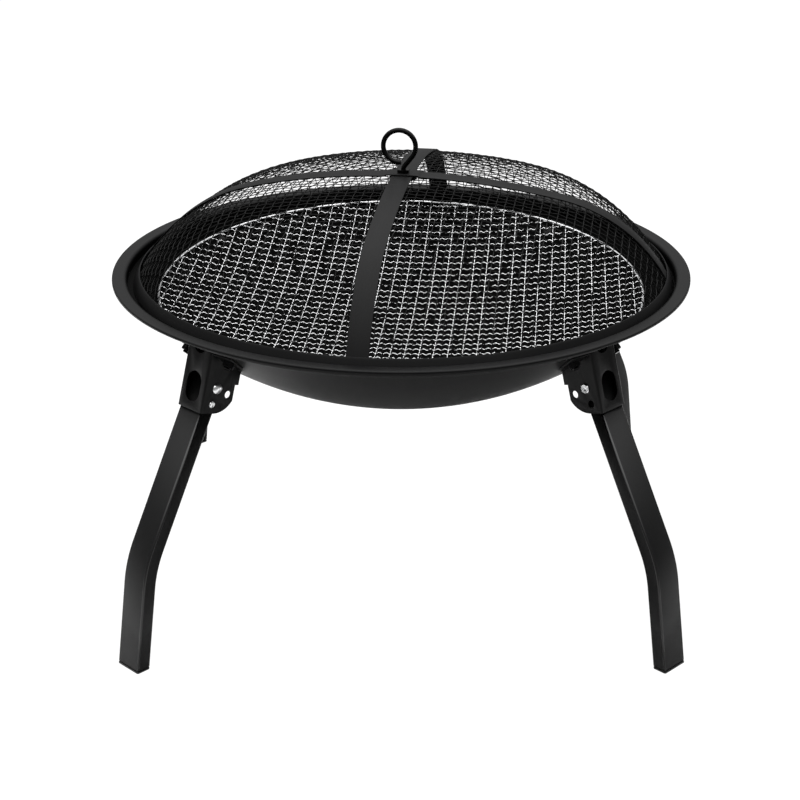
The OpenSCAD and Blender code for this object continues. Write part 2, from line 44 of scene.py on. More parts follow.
mm = 0.001  # sizes are in millimetres where no note says metres, and angles in degrees
weld = 0.002 * mm  # points closer than this are one
up = Vector((0, 0, 1))
pi = math.pi

# The legs' places come from their fold joints
pivots = {}
for joint in frame["joints"]:
    if joint["name"].startswith("fold_"):
        spot = Vector(joint["pos_m"])
        pivots[joint["name"].removeprefix("fold_")] = {
            "angle": math.atan2(spot.y, spot.x),
            "out": math.hypot(spot.x, spot.y) / mm,
            "height": spot.z / mm,
        }


# Camera at the photograph's place

shot = {
    "place": (-2.31, -1656.17, 865.5), "target": (0, 0, 160.45), "lens": 80.24, "sensor": 36,
    "pixelsRight": 1.15, "pixelsWide": 800,
}


def setCamera():
    lens = bpy.data.cameras.new("photoCamera")
    lens.sensor_width = shot["sensor"]
    lens.lens = shot["lens"]
    lens.shift_x = -shot["pixelsRight"] / shot["pixelsWide"]
    camera = bpy.data.objects.new("photoCamera", lens)
    bpy.context.scene.collection.objects.link(camera)
    place, target = Vector(shot["place"]) * mm, Vector(shot["target"]) * mm
    camera.location = place
    camera.rotation_mode = "QUATERNION"
    camera.rotation_quaternion = (target - place).to_track_quat("-Z", "Y")
    bpy.context.scene.camera = camera


setCamera()
bpy.context.scene.view_settings.view_transform = "Standard"
print("camera set")


# Materials

def addNode(tree, kind, **settings):
    node = tree.nodes.new(kind)
    for name, value in settings.items():
        setattr(node, name, value)
    return node


def objectNoise(tree, scale, detail, rough):
    noise = addNode(tree, "ShaderNodeTexNoise")
    noise.inputs["Detail"].default_value = detail
    noise.inputs["Roughness"].default_value = rough
    tree.links.new(addNode(tree, "ShaderNodeTexCoord").outputs["Object"], noise.inputs["Vector"])
    tree.links.new(scale, noise.inputs["Scale"])
    return noise.outputs["Fac"]


def spread(tree, value, low, high, toLow, toHigh):
    # Maps low to toLow and high to toHigh, which may be numbers or sockets
    node = addNode(tree, "ShaderNodeMapRange")
    tree.links.new(value, node.inputs["Value"])
    node.inputs["From Min"].default_value = low
    node.inputs["From Max"].default_value = high
    for name, end in (("To Min", toLow), ("To Max", toHigh)):
        if isinstance(end, (int, float)):
            node.inputs[name].default_value = end
        else:
            tree.links.new(end, node.inputs[name])
    return node.outputs["Result"]


coatMix = {
    "cloudDetail": 3, "cloudRough": 0.5, "grainDetail": 4, "grainRough": 0.6,
    "cloudShare": 0.7, "grainShare": 0.3, "window": (0.3, 0.7),
}


def makeGrainGroup():
    # Broad cloudy tone, fine grain for the bump, and a roughness that follows both
    group = bpy.data.node_groups.new("coatGrain", "ShaderNodeTree")
    wanted = [
        ("Dark", "INPUT", "NodeSocketColor"), ("Light", "INPUT", "NodeSocketColor"),
        ("Grain Scale", "INPUT", "NodeSocketFloat"), ("Cloud Scale", "INPUT", "NodeSocketFloat"),
        ("Rough Low", "INPUT", "NodeSocketFloat"), ("Rough High", "INPUT", "NodeSocketFloat"),
        ("Color", "OUTPUT", "NodeSocketColor"), ("Roughness", "OUTPUT", "NodeSocketFloat"),
        ("Height", "OUTPUT", "NodeSocketFloat"),
    ]
    for name, way, kind in wanted:
        group.interface.new_socket(name=name, in_out=way, socket_type=kind)
    given = addNode(group, "NodeGroupInput").outputs
    out = addNode(group, "NodeGroupOutput").inputs
    cloud = objectNoise(group, given["Cloud Scale"], coatMix["cloudDetail"], coatMix["cloudRough"])
    grain = objectNoise(group, given["Grain Scale"], coatMix["grainDetail"], coatMix["grainRough"])
    both = addNode(group, "ShaderNodeMath", operation="MULTIPLY_ADD")
    group.links.new(cloud, both.inputs[0])
    both.inputs[1].default_value = coatMix["cloudShare"]
    low, high = coatMix["window"]
    group.links.new(spread(group, grain, low, high, 0.0, coatMix["grainShare"]), both.inputs[2])
    mask = spread(group, both.outputs[0], low, high, 0.0, 1.0)
    tone = addNode(group, "ShaderNodeMix", data_type="RGBA")
    for source, socket in ((mask, "Factor"), (given["Dark"], "A"), (given["Light"], "B")):
        group.links.new(source, tone.inputs[socket])
    rough = spread(group, mask, 0.0, 1.0, given["Rough Low"], given["Rough High"])
    group.links.new(tone.outputs["Result"], out["Color"])
    group.links.new(rough, out["Roughness"])
    group.links.new(grain, out["Height"])
    return group


grainGroup = makeGrainGroup()


def makeFinish(name, look):
    material = bpy.data.materials.new(name)
    material.use_nodes = True
    tree = material.node_tree
    shader = tree.nodes["Principled BSDF"]
    shader.inputs["Metallic"].default_value = look["metal"]
    shader.inputs["Specular IOR Level"].default_value = look["shine"]
    coat = addNode(tree, "ShaderNodeGroup", node_tree=grainGroup)
    coat.inputs["Dark"].default_value = (*look["dark"], 1)
    coat.inputs["Light"].default_value = (*look["light"], 1)
    coat.inputs["Grain Scale"].default_value = look["grain"]
    coat.inputs["Cloud Scale"].default_value = look["cloud"]
    coat.inputs["Rough Low"].default_value, coat.inputs["Rough High"].default_value = look["rough"]
    bump = addNode(tree, "ShaderNodeBump")
    bump.inputs["Strength"].default_value = look["bump"]
    bump.inputs["Distance"].default_value = look["depth"]
    tree.links.new(coat.outputs["Height"], bump.inputs["Height"])
    tree.links.new(coat.outputs["Color"], shader.inputs["Base Color"])
    tree.links.new(coat.outputs["Roughness"], shader.inputs["Roughness"])
    tree.links.new(bump.outputs["Normal"], shader.inputs["Normal"])
    return material


# The bump's depth is in metres; grain and cloud count spots in a metre
finishes = {
    "bowlPaint": {
        "dark": (0.0012, 0.0012, 0.0013), "light": (0.0028, 0.0028, 0.0029), "metal": 0.0, "shine": 0.27,
        "rough": (0.34, 0.44), "grain": 900, "cloud": 7, "bump": 0.10, "depth": 0.0004,
    },
    "rimPaint": {
        "dark": (0.0012, 0.0012, 0.0013), "light": (0.0028, 0.0028, 0.0029), "metal": 0.0, "shine": 0.13,
        "rough": (0.34, 0.44), "grain": 900, "cloud": 7, "bump": 0.10, "depth": 0.0004,
    },
    # Inside the bowl: the outside paint made darker and less shiny, which is painted shade in the hollow
    "bowlInsidePaintedShade": {
        "dark": (0.0003, 0.0003, 0.0003), "light": (0.0008, 0.0008, 0.0008), "metal": 0.0, "shine": 0.02,
        "rough": (0.52, 0.64), "grain": 900, "cloud": 7, "bump": 0.12, "depth": 0.0004,
    },
    "legPaint": {
        "dark": (0.0016, 0.0016, 0.0017), "light": (0.0032, 0.0032, 0.0033), "metal": 0.0, "shine": 0.2,
        "rough": (0.36, 0.46), "grain": 1100, "cloud": 14, "bump": 0.10, "depth": 0.0004,
    },
    "cornerPaint": {
        "dark": (0.0016, 0.0016, 0.0017), "light": (0.0032, 0.0032, 0.0033), "metal": 0.0, "shine": 0.5,
        "rough": (0.18, 0.24), "grain": 1100, "cloud": 14, "bump": 0.01, "depth": 0.0004,
    },
    "screenPaint": {
        "dark": (0.0014, 0.0014, 0.0015), "light": (0.0030, 0.0030, 0.0031), "metal": 0.0, "shine": 0.12,
        "rough": (0.40, 0.52), "grain": 1000, "cloud": 12, "bump": 0.08, "depth": 0.0003,
    },
    "meshPaint": {
        "dark": (0.0006, 0.0006, 0.0006), "light": (0.0018, 0.0018, 0.0018), "metal": 0.0, "shine": 0.14,
        "rough": (0.40, 0.55), "grain": 600, "cloud": 20, "bump": 0.05, "depth": 0.0002,
    },
    "handleGloss": {
        "dark": (0.0008, 0.0008, 0.0008), "light": (0.0016, 0.0016, 0.0016), "metal": 0.0, "shine": 0.14,
        "rough": (0.08, 0.14), "grain": 700, "cloud": 40, "bump": 0.04, "depth": 0.0002,
    },
    "grateZinc": {
        "dark": (0.84, 0.85, 0.86), "light": (0.97, 0.975, 0.98), "metal": 0.9, "shine": 0.5,
        "rough": (0.07, 0.15), "grain": 500, "cloud": 35, "bump": 0.06, "depth": 0.0002,
    },
    "hardwareZinc": {
        "dark": (0.78, 0.79, 0.80), "light": (0.94, 0.945, 0.95), "metal": 0.95, "shine": 0.5,
        "rough": (0.10, 0.20), "grain": 800, "cloud": 90, "bump": 0.08, "depth": 0.0002,
    },
    "plugPlastic": {
        "dark": (0.022, 0.022, 0.022), "light": (0.034, 0.034, 0.034), "metal": 0.0, "shine": 0.4,
        "rough": (0.5, 0.62), "grain": 1500, "cloud": 40, "bump": 0.15, "depth": 0.0003,
    },
}
finish = {name: makeFinish(name, look) for name, look in finishes.items()}
print("finishes made:", len(finish))


# Making and placing pieces

def placePiece(name, mesh, material, body, nodes, sharp=32):
    # Edges that turn more than sharp stay crisp
    mesh.materials.append(finish[material])
    mesh.shade_smooth()
    mesh.set_sharp_from_angle(angle=math.radians(sharp))
    piece = bpy.data.objects.new(name, mesh)
    bpy.context.scene.collection.objects.link(piece)
    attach(piece, body)
    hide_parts(*nodes)
    return piece


def meshFrom(name, bm, merge=True):
    if merge:
        bmesh.ops.remove_doubles(bm, verts=bm.verts, dist=weld)
    bmesh.ops.recalc_face_normals(bm, faces=bm.faces)
    mesh = bpy.data.meshes.new(name)
    bm.to_mesh(mesh)
    bm.free()
    return mesh


def addPart(bm, part):
    # Puts a second bmesh into the first and frees it
    mesh = bpy.data.meshes.new("part")
    part.to_mesh(mesh)
    part.free()
    bm.from_mesh(mesh)
    bpy.data.meshes.remove(mesh)


def onlyKind(geom, kind):
    return [item for item in geom if isinstance(item, kind)]


def angleSteps(start, sweep, steps):
    return [start + sweep * i / steps for i in range(steps + 1)]


def spinProfile(bm, profile, steps):
    # Turns an open outline of (radius, height) right round the z axis
    verts = [bm.verts.new((r * mm, 0, z * mm)) for r, z in profile]
    edges = [bm.edges.new(pair) for pair in zip(verts, verts[1:])]
    bmesh.ops.spin(
        bm, geom=verts + edges, cent=(0, 0, 0), axis=up, angle=2 * pi, steps=steps, use_merge=True,
    )
    bmesh.ops.remove_doubles(bm, verts=bm.verts, dist=weld)


def ringEdges(bm, radius, height):
    near = 0.02 * mm

    def onRing(v):
        return abs(v.co.xy.length - radius * mm) < near and abs(v.co.z - height * mm) < near

    return [e for e in bm.edges if all(onRing(v) for v in e.verts)]


def roundEdges(bm, edges, size, segments, material=-1):
    bmesh.ops.bevel(
        bm, geom=edges, offset=size * mm, offset_type="OFFSET", segments=segments,
        profile=0.5, affect="EDGES", material=material, clamp_overlap=True,
    )


def thicken(piece, thickness, offset=0):
    wall = piece.modifiers.new("sheet", "SOLIDIFY")
    wall.thickness = thickness * mm
    wall.offset = offset
    wall.use_even_offset = True
    return wall


def wireMesh(name, paths, radius, fineness):
    # Round wire along each path of points, made a mesh
    curve = bpy.data.curves.new(name, "CURVE")
    curve.dimensions = "3D"
    curve.bevel_depth = radius * mm
    curve.bevel_resolution = fineness
    curve.use_fill_caps = True
    for points in paths:
        spline = curve.splines.new("POLY")
        spline.points.add(len(points) - 1)
        for spot, point in zip(spline.points, points):
            spot.co = (*(Vector(point) * mm), 1)
    holder = bpy.data.objects.new(name, curve)
    bpy.context.scene.collection.objects.link(holder)
    bpy.context.view_layer.update()
    mesh = bpy.data.meshes.new_from_object(holder.evaluated_get(bpy.context.evaluated_depsgraph_get()))
    bpy.data.objects.remove(holder)
    bpy.data.curves.remove(curve)
    return mesh


# Bowl: one sheet, round below, with a ledge, a step and a soft rolled rim

bowl = {
    "skin": 355.015, "centre": 537.615, "sheet": 1.2, "ledge": 294.4, "step": 266.6,
    "rim": 279.4, "top": 304.4, "lip": 302.3, "arcs": 30, "turns": 192, "sharp": 50,
    "soft": {"mouth": 1.6, "stepFoot": 1.6, "stepTop": 3.2, "edge": 1.1}, "softSegments": 5,
}


def makeBowl():
    bm = bmesh.new()
    mouth = math.acos((bowl["centre"] - bowl["ledge"]) / bowl["skin"])
    outline = [
        (bowl["skin"] * math.sin(a), bowl["centre"] - bowl["skin"] * math.cos(a))
        for a in angleSteps(0, mouth, bowl["arcs"])
    ]
    mouthRadius = outline[-1][0]
    outline += [
        (bowl["step"], bowl["ledge"]), (bowl["step"], bowl["top"]),
        (bowl["rim"], bowl["top"]), (bowl["rim"], bowl["lip"]),
    ]
    spinProfile(bm, outline, bowl["turns"])
    soft = bowl["soft"]
    for radius, height, size in (
        (mouthRadius, bowl["ledge"], soft["mouth"]), (bowl["step"], bowl["ledge"], soft["stepFoot"]),
        (bowl["step"], bowl["top"], soft["stepTop"]), (bowl["rim"], bowl["top"], soft["edge"]),
    ):
        roundEdges(bm, ringEdges(bm, radius, height), size, bowl["softSegments"])
    mesh = meshFrom("fireBowl", bm)
    if min(mesh.polygons, key=lambda face: face.center.z).normal.z > 0:
        mesh.flip_normals()
    piece = placePiece("fireBowl", mesh, "bowlPaint", "bowl", ["bowl"], bowl["sharp"])
    # The wall's inner side takes the next material: inside the bowl a darker, duller copy of the paint that
    # is painted shade, the same again on the flat rim
    for material in ("bowlInsidePaintedShade", "rimPaint", "rimPaint"):
        mesh.materials.append(finish[material])
    rimFrom = (bowl["top"] - soft["stepTop"]) * mm
    for face in mesh.polygons:
        face.material_index = 2 if face.center.z > rimFrom else 0
    thicken(piece, bowl["sheet"]).material_offset = 1


makeBowl()
print("bowl made")


# Brackets: the CAD shape with its edges broken; these edges have smoother paint that catches light

bracket = {"weld": 0.004, "flat": 0.6, "edge": 0.32, "segments": 2, "angle": 35}


def makeBracket(leg):
    node = "bracket_" + leg
    bm = bmesh.new()
    bm.from_mesh(frame["nodes"][node].data)
    bmesh.ops.remove_doubles(bm, verts=bm.verts, dist=bracket["weld"] * mm)
    bmesh.ops.dissolve_limit(bm, angle_limit=math.radians(bracket["flat"]), verts=bm.verts, edges=bm.edges)
    least = math.radians(bracket["angle"])
    corners = [e for e in bm.edges if len(e.link_faces) == 2 and e.calc_face_angle(0) > least]
    roundEdges(bm, corners, bracket["edge"], bracket["segments"], 1)
    mesh = meshFrom("legBracket_" + leg, bm)
    placePiece("legBracket_" + leg, mesh, "legPaint", "bowl", [node])
    mesh.materials.append(finish["cornerPaint"])


# Legs: flat tube with rounded corners, bent at the knee, a plug in the foot

tube = {
    "width": 29.5, "depth": 14.0, "wall": 1.2, "corner": 1.7, "leastCorner": 0.8, "cornerSegments": 4,
    "lean": 28.5, "lowLean": 8.8, "kneeHeight": 98.5, "kneeRadius": 110.0, "kneeSteps": 14,
    "top": 9.1, "spare": 20.0, "gap": 0.15,
}
plug = {"sole": 3.0, "flange": 1.7, "deep": 20.0, "edge": 0.5, "edgeSegments": 3}


def legToWorld(leg):
    place = pivots[leg]
    return Matrix.Rotation(place["angle"], 4, "Z") @ Matrix.Translation(
        Vector((place["out"] * mm, 0, place["height"] * mm))
    )


def pullFaces(bm, faces, move):
    # Draws these faces out by a move and returns them at their new place
    made = bmesh.ops.extrude_face_region(bm, geom=faces)["geom"]
    bmesh.ops.delete(bm, geom=faces, context="FACES_ONLY")
    bmesh.ops.translate(bm, vec=move * mm, verts=onlyKind(made, bmesh.types.BMVert))
    return onlyKind(made, bmesh.types.BMFace)


def bentBar(leg, inset, top):
    # A closed bar along the leg's middle line, made with its pivot at the origin and then put in place
    lean, turn = math.radians(tube["lean"]), math.radians(tube["lean"] - tube["lowLean"])
    run = tube["kneeRadius"] * math.tan(turn / 2)
    upper = (pivots[leg]["height"] - tube["kneeHeight"]) / math.cos(lean) - run
    lower = tube["kneeHeight"] / math.cos(math.radians(tube["lowLean"])) - run + tube["spare"]
    bm = bmesh.new()
    halfD, halfW = tube["depth"] / 2 - inset, tube["width"] / 2 - inset
    face = bm.faces.new([
        bm.verts.new((x * halfD * mm, y * halfW * mm, top * mm))
        for x, y in ((-1, -1), (1, -1), (1, 1), (-1, 1))
    ])
    soft = max(tube["corner"] - inset, tube["leastCorner"])
    bmesh.ops.bevel(
        bm, geom=face.verts, offset=soft * mm, offset_type="OFFSET", segments=tube["cornerSegments"],
        profile=0.5, affect="VERTICES", material=-1,
    )
    section = bm.faces[:]
    bmesh.ops.duplicate(bm, geom=section)
    end = pullFaces(bm, section, Vector((0, 0, -upper - top)))
    knee = Vector((-tube["kneeRadius"], 0, -upper)) * mm
    bent = bmesh.ops.spin(
        bm, geom=end, cent=knee, axis=(0, 1, 0), angle=turn, steps=tube["kneeSteps"], use_merge=False,
    )["geom_last"]
    pullFaces(bm, onlyKind(bent, bmesh.types.BMFace), lower * Vector((-math.sin(turn), 0, -math.cos(turn))))
    bmesh.ops.remove_doubles(bm, verts=bm.verts, dist=weld)
    bmesh.ops.transform(bm, matrix=legToWorld(leg) @ Matrix.Rotation(-lean, 4, "Y"), verts=bm.verts)
    return bm


def cutLevel(bm, height, keepAbove):
    found = bmesh.ops.bisect_plane(
        bm, geom=bm.verts[:] + bm.edges[:] + bm.faces[:], plane_co=(0, 0, height * mm), plane_no=up,
        clear_inner=keepAbove, clear_outer=not keepAbove,
    )["geom_cut"]
    return onlyKind(found, bmesh.types.BMEdge)


def closeEnds(bm):
    bmesh.ops.holes_fill(bm, edges=[e for e in bm.edges if e.is_boundary], sides=0)


def makeLeg(leg):
    bm = bentBar(leg, 0, tube["top"])
    ends = [f for f in bm.faces if len(f.verts) > 4]
    bmesh.ops.delete(bm, geom=ends, context="FACES_ONLY")
    cutLevel(bm, plug["sole"] + tube["gap"], True)
    for face in bm.faces:
        # The narrow strips round each corner are smoother and catch the light
        face.material_index = int(min(e.calc_length() for e in face.edges) < tube["corner"] / 2 * mm)
    mesh = meshFrom("legTube_" + leg, bm)
    piece = placePiece("legTube_" + leg, mesh, "legPaint", "leg_" + leg, ["leg_tube_" + leg])
    mesh.materials.append(finish["cornerPaint"])
    thicken(piece, tube["wall"], -1)


def makePlug(leg):
    # The flange stops short of the tube, which leaves a dark seam over it
    bm = bentBar(leg, 0, 0)
    cutLevel(bm, plug["flange"], False)
    bottom = cutLevel(bm, 0, True)
    closeEnds(bm)
    roundEdges(bm, bottom, plug["edge"], plug["edgeSegments"])
    insert = bentBar(leg, tube["wall"] + tube["gap"], 0)
    cutLevel(insert, plug["sole"] + plug["deep"], False)
    cutLevel(insert, plug["flange"] / 2, True)
    closeEnds(insert)
    addPart(bm, insert)
    mesh = meshFrom("footPlug_" + leg, bm, False)
    placePiece("footPlug_" + leg, mesh, "plugPlastic", "leg_" + leg, ["foot_plug_" + leg])


# Pivot rivets and lock buttons, turned about the fold's axis

rivet = {
    "half": 16.65, "shank": 3.0, "head": 5.3, "headHeight": 2.6, "headSteps": 8,
    "tail": 4.5, "tailHeight": 1.56, "tailChamfer": 0.6,
    "hollow": 1.65, "hollowChamfer": 0.5, "hollowEnd": (-0.1, 0.4), "turns": 40,
}
lock = {
    "reach": 15.0, "button": 3.2, "tip": 18.0, "tipRound": 1.2, "tipSteps": 5, "inside": 12.7, "turns": 32,
    "leaf": (8.0, 0.8, 46.0), "leafFrom": 4.0,
}


def acrossLeg(leg, along=0.0):
    # Frame whose z axis runs along the fold's axis, moved down the upper tube
    lean = Matrix.Rotation(-math.radians(tube["lean"]), 4, "Y")
    return legToWorld(leg) @ lean @ Matrix.Translation((0, 0, -along * mm)) @ Matrix.Rotation(-pi / 2, 4, "X")


def makeRivet(leg):
    bm = bmesh.new()
    half, shank, tail, hollow = rivet["half"], rivet["shank"], rivet["tail"], rivet["hollow"]
    head = [
        (rivet["head"] * math.cos(a), half + rivet["headHeight"] * math.sin(a))
        for a in angleSteps(0, pi / 2, rivet["headSteps"])
    ]
    tailEnd = -half - rivet["tailHeight"]
    wallEnd, middleEnd = rivet["hollowEnd"]
    outline = head[::-1] + [
        (shank, half), (shank, -half), (tail, -half),
        (tail, tailEnd + rivet["tailChamfer"]), (tail - rivet["tailChamfer"], tailEnd),
        (hollow + rivet["hollowChamfer"], tailEnd), (hollow, tailEnd + rivet["hollowChamfer"]),
        (hollow, -half + wallEnd), (0, -half + middleEnd),
    ]
    spinProfile(bm, outline, rivet["turns"])
    bmesh.ops.transform(bm, matrix=acrossLeg(leg), verts=bm.verts)
    mesh = meshFrom("pivotRivet_" + leg, bm)
    placePiece("pivotRivet_" + leg, mesh, "hardwareZinc", "bowl", ["pivot_rivet_" + leg])


def makeLock(leg):
    bm = bmesh.new()
    tip, half, soft, inside = lock["tip"], lock["button"], lock["tipRound"], lock["inside"]
    dome = [
        (half - soft + soft * math.cos(a), tip - soft + soft * math.sin(a))
        for a in angleSteps(0, pi / 2, lock["tipSteps"])
    ]
    spinProfile(bm, [(0, tip)] + dome[::-1] + [(half, inside), (0, inside)], lock["turns"])
    place = acrossLeg(leg, lock["reach"])
    bmesh.ops.transform(bm, matrix=place, verts=bm.verts)
    wide, thick, long = lock["leaf"]
    leaf = bmesh.ops.create_cube(bm, size=1)["verts"]
    bmesh.ops.scale(bm, vec=Vector((wide, long, thick)) * mm, verts=leaf)
    middle = Vector((0, long / 2 - lock["leafFrom"], inside + thick / 2)) * mm
    bmesh.ops.transform(bm, matrix=place @ Matrix.Translation(middle), verts=leaf)
    mesh = meshFrom("lockClip_" + leg, bm, False)
    placePiece("lockClip_" + leg, mesh, "hardwareZinc", "clip_" + leg, ["lock_clip_" + leg])


for leg in pivots:
    makeBracket(leg)
    makeLeg(leg)
    makePlug(leg)
    makeRivet(leg)
    makeLock(leg)
print("legs made:", len(pivots))


# Bolts that hold the bracket tabs on the bowl, heads inside

bolt = {
    "skin": 355.615, "upArc": 14.0, "out": 28.1, "shank": 3.0, "seat": 354.3, "tip": 2.0, "chamfer": 0.5,
    "head": 5.7, "headHeight": 2.1, "brim": 0.6, "headSteps": 6, "turns": 28,
    "nutSeat": 357.3, "nutFlat": 9.9, "nutHeight": 4.5,
}
nut = {"cuts": 3, "holeSteps": 24, "slope": 0.55, "play": 0.05}


def boltPlaces():
    for place in pivots.values():
        below = math.atan2(place["out"], bowl["centre"] - place["height"]) + bolt["upArc"] / bolt["skin"]
        turn = math.asin(bolt["out"] / (bolt["skin"] * math.sin(below)))
        for side in (-1, 1):
            yield (
                Matrix.Translation((0, 0, bowl["centre"] * mm))
                @ Matrix.Rotation(place["angle"] + side * turn, 4, "Z") @ Matrix.Rotation(pi - below, 4, "Y")
            )


def addTurned(bm, outline, steps, place):
    part = bmesh.new()
    spinProfile(part, outline, steps)
    bmesh.ops.transform(part, matrix=place, verts=part.verts)
    addPart(bm, part)


def addHexNut(bm, flats, height, rod, place):
    # A six-sided ring with its corners taken off at both ends
    part = bmesh.new()
    bmesh.ops.create_circle(part, radius=flats / math.sqrt(3) * mm, segments=6)
    bmesh.ops.subdivide_edges(part, edges=part.edges[:], cuts=nut["cuts"])
    bmesh.ops.create_circle(part, radius=(rod + nut["play"]) * mm, segments=nut["holeSteps"])
    bmesh.ops.bridge_loops(part, edges=part.edges[:])
    made = bmesh.ops.extrude_face_region(part, geom=part.faces[:])["geom"]
    bmesh.ops.translate(part, vec=up * height * mm, verts=onlyKind(made, bmesh.types.BMVert))
    for v in part.verts:
        past = v.co.xy.length / mm - flats / 2
        if past > 0:
            v.co.z += (1 if v.co.z < height * mm / 2 else -1) * past * nut["slope"] * mm
    bmesh.ops.recalc_face_normals(part, faces=part.faces)
    bmesh.ops.transform(part, matrix=place, verts=part.verts)
    addPart(bm, part)


def makeBolts():
    bolts, nuts = bmesh.new(), bmesh.new()
    shank, seat, brim, chamfer = bolt["shank"], bolt["seat"], bolt["brim"], bolt["chamfer"]
    head = [
        (bolt["head"] * math.cos(a), seat - brim - (bolt["headHeight"] - brim) * math.sin(a))
        for a in angleSteps(0, pi / 2, bolt["headSteps"])
    ]
    end = bolt["nutSeat"] + bolt["nutHeight"] + bolt["tip"]
    outline = head[::-1] + [
        (bolt["head"], seat), (shank, seat), (shank, end - chamfer), (shank - chamfer, end), (0, end),
    ]
    for place in boltPlaces():
        addTurned(bolts, outline, bolt["turns"], place)
        under = place @ Matrix.Translation((0, 0, bolt["nutSeat"] * mm))
        addHexNut(nuts, bolt["nutFlat"], bolt["nutHeight"], shank, under)
    mesh = meshFrom("tabBolts", bolts, False)
    placePiece("tabBolts", mesh, "handleGloss", "bowl", ["bracket_bolts"])
    mesh = meshFrom("tabNuts", nuts, False)
    placePiece("tabNuts", mesh, "legPaint", "bowl", ["bracket_nuts"])


makeBolts()
print("bolts made")


# Grate: crimped wires both ways on a ring, dished, lying tilted in the bowl

grate = {
    "ring": 238.5, "ringWire": 2.9, "ringSteps": 180, "ringFineness": 4, "ringSharp": 60,
    "wires": (1.08, 0.74), "wireFineness": 1, "wireSharp": 80, "pitch": 13.5, "edgeFree": 4.0,
    "crimp": 0.74, "wave": 6.75, "stepsPerWave": 7, "leastSteps": 8, "lap": 6.0, "onRing": 0.9,
    "sag": 26.0, "tilt": 3.4, "turn": -5.0, "reach": 352.615,
}


def grateToWorld():
    down = math.sqrt(grate["reach"] ** 2 - grate["ring"] ** 2)
    return (
        Matrix.Translation((0, 0, bowl["centre"] * mm)) @ Matrix.Rotation(math.radians(grate["tilt"]), 4, "X")
        @ Matrix.Rotation(math.radians(grate["turn"]), 4, "Z") @ Matrix.Translation((0, 0, -down * mm))
    )


def crimpedWires(side):
    # side 1 rides high where the wires cross and -1 low; each end climbs onto the ring and is welded there
    ring, wave = grate["ring"], grate["wave"]
    dish = (ring ** 2 + grate["sag"] ** 2) / (2 * grate["sag"])
    count = int((ring - grate["edgeFree"]) / grate["pitch"])
    paths = []
    for number in range(-count, count + 1):
        off = number * grate["pitch"]
        end = math.sqrt(ring ** 2 - off ** 2)
        steps = max(grate["leastSteps"], int(2 * end / wave * grate["stepsPerWave"]))
        path = []
        for i in range(steps + 1):
            along = end * (2 * i / steps - 1)
            height = dish - grate["sag"] - math.sqrt(dish ** 2 - off ** 2 - along ** 2)
            height += side * grate["crimp"] * math.cos(2 * pi * along / wave)
            left = ring - math.hypot(along, off)
            climb = min(1, max(0, 1 - left / grate["lap"]))
            climb = climb * climb * (3 - 2 * climb)
            path.append((along, off, height * (1 - climb) + grate["onRing"] * climb))
        paths.append(path)
    return paths


def makeGrate():
    radius, angles = grate["ring"], angleSteps(0, 2 * pi, grate["ringSteps"])
    ring = [(radius * math.cos(a), radius * math.sin(a), 0) for a in angles]
    mesh = wireMesh("grateRing", [ring], grate["ringWire"] / 2, grate["ringFineness"])
    mesh.transform(grateToWorld())
    placePiece("grateRing", mesh, "grateZinc", "grate", ["grate_ring"], grate["ringSharp"])
    across, along = grate["wires"]
    for name, node, side, wire, turn in (
        ("grateAcross", "grate_wires_across", -1, across, 0),
        ("grateAlong", "grate_wires_along", 1, along, pi / 2),
    ):
        mesh = wireMesh(name, crimpedWires(side), wire / 2, grate["wireFineness"])
        mesh.transform(grateToWorld() @ Matrix.Rotation(turn, 4, "Z"))
        placePiece(name, mesh, "grateZinc", "grate", [node], grate["wireSharp"])


makeGrate()
print("grate made")


# Spark screen: woven mesh pressed to a flat crown and round shoulders, straps over it, a band round its edge

screen = {
    "crown": 395.0, "crownRadius": 728.0, "crownAngle": 12.2, "shoulder": 153.24, "foot": 295.3,
    "turn": -9.0, "shift": 2.2,
    "bends": [
        {"at": (-212, 58), "wide": 46, "lift": -4.6},
        {"at": (168, 104), "wide": 48, "lift": 2.4},
    ],
    "bendsFade": (242, 256),
}
weave = {
    "pitch": 8.3, "wire": 0.92, "fineness": 0, "sharp": 180, "off": -1.05, "over": 0.52,
    "shortBy": 1.2, "endFree": 1.0,
}
band = {"height": 12.0, "sheet": 1.2, "off": 2.1, "steps": 6, "turns": 192, "edge": 0.4, "edgeSegments": 3}
strap = {
    "width": 20.0, "sheet": 1.2, "off": 0.7, "step": 1.25, "stepAt": (14.5, 17.5), "sharp": 40,
    "shoulderSteps": 28, "crownSteps": 24, "sideSteps": 10, "riseSteps": 3, "topSteps": 4,
    "edge": 0.25, "edgeSegments": 2, "edgeAngle": 50,
}
crownAngle = math.radians(screen["crownAngle"])
crownCentre = screen["crown"] - screen["crownRadius"]
shoulderX = (screen["crownRadius"] - screen["shoulder"]) * math.sin(crownAngle)
shoulderZ = crownCentre + (screen["crownRadius"] - screen["shoulder"]) * math.cos(crownAngle)
footAngle = math.acos((screen["foot"] - shoulderZ) / (screen["shoulder"] + band["off"]))
bandAngle = math.acos((screen["foot"] + band["height"] - shoulderZ) / (screen["shoulder"] + band["off"]))


def screenToWorld(turn=0.0):
    shift = Matrix.Translation((screen["shift"] * mm, 0, 0))
    return shift @ Matrix.Rotation(math.radians(screen["turn"]), 4, "Z") @ Matrix.Rotation(turn, 4, "Z")


def shoulderPoint(angle, off):
    reach = screen["shoulder"] + off
    return shoulderX + reach * math.sin(angle), shoulderZ + reach * math.cos(angle)


def domePoint(x, y, off):
    # The point over (x, y), this far out from the surface that the straps lie on
    radius = math.hypot(x, y)
    if radius < shoulderX + screen["shoulder"] * math.sin(crownAngle):
        reach, base = screen["crownRadius"], crownCentre
        angle = math.asin(radius / reach)
    else:
        reach, base = screen["shoulder"], shoulderZ
        angle = math.asin((radius - shoulderX) / reach)
    out = 1 + off * math.sin(angle) / radius
    return x * out, y * out, base + (reach + off) * math.cos(angle)


